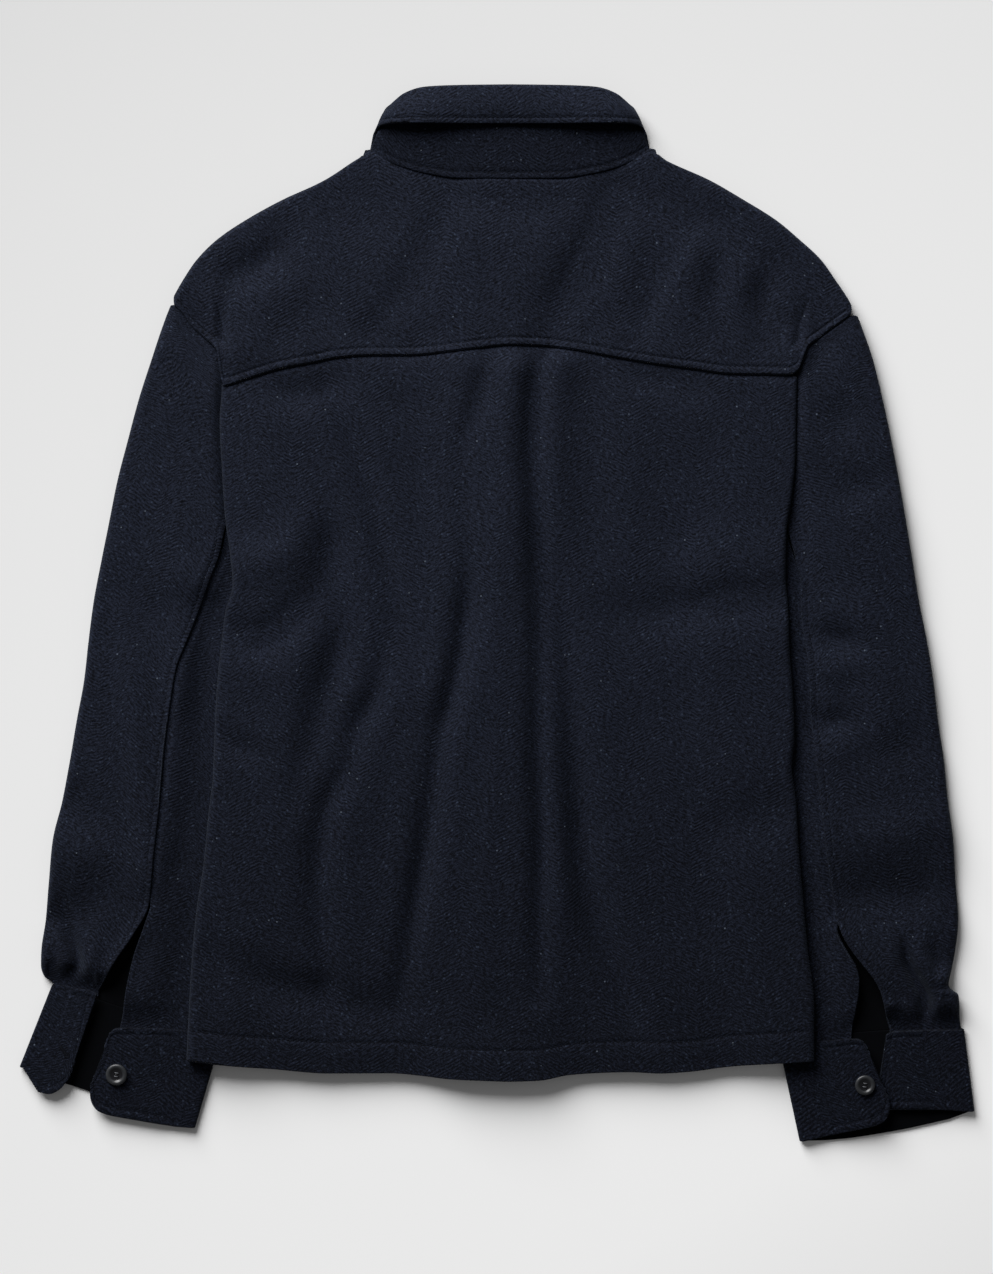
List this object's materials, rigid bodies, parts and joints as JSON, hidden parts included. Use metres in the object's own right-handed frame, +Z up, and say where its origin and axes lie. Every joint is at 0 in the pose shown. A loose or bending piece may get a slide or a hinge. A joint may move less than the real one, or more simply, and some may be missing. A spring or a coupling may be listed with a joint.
{
  "type": "shirt-jacket",
  "caption": "Dark wool herringbone shirt-jacket laid flat on its front, back up, with collar, back yoke, long sleeves and unbuttoned cuffs.",
  "frame": {"origin": "middle of the garment's bounding box, at the surface it lies on", "axes": "+Z up from that surface, +Y from the hem towards the collar, +X towards the wearer's right sleeve, which is at the right in the picture"},
  "size_m": [0.7262, 0.8026, 0.0131],
  "materials": {
    "cloth.back_panel": "napped wool herringbone",
    "cloth.back_yoke": "napped wool herringbone",
    "cloth.front_left": "napped wool herringbone",
    "cloth.front_right": "napped wool herringbone",
    "cloth.collar_stand": "napped wool herringbone",
    "cloth.collar": "napped wool herringbone",
    "cloth.sleeve_left_top": "napped wool herringbone",
    "cloth.sleeve_left_under": "napped wool herringbone",
    "cloth.sleeve_right_top": "napped wool herringbone",
    "cloth.sleeve_right_under": "napped wool herringbone",
    "cloth.cuff_left": "napped wool herringbone",
    "cloth.cuff_right": "napped wool herringbone",
    "button.cuff_button_left": "dark polished plastic",
    "button.cuff_button_right": "dark polished plastic",
    "button.front_button_1": "dark polished plastic",
    "button.front_button_2": "dark polished plastic",
    "button.front_button_3": "dark polished plastic",
    "button.front_button_4": "dark polished plastic",
    "button.front_button_5": "dark polished plastic",
    "button.front_button_6": "dark polished plastic"
  },
  "bodies": {
    "root": {"back_panel": "cloth.back_panel", "back_yoke": "cloth.back_yoke", "front_left": "cloth.front_left", "front_right": "cloth.front_right", "collar_stand": "cloth.collar_stand", "collar": "cloth.collar", "sleeve_left_top": "cloth.sleeve_left_top", "sleeve_left_under": "cloth.sleeve_left_under", "sleeve_right_top": "cloth.sleeve_right_top", "sleeve_right_under": "cloth.sleeve_right_under", "cuff_left": "cloth.cuff_left", "cuff_right": "cloth.cuff_right", "cuff_button_left": "button.cuff_button_left", "cuff_button_right": "button.cuff_button_right", "front_button_1": "button.front_button_1", "front_button_2": "button.front_button_2", "front_button_3": "button.front_button_3", "front_button_4": "button.front_button_4", "front_button_5": "button.front_button_5", "front_button_6": "button.front_button_6"}
  },
  "joints": []
}
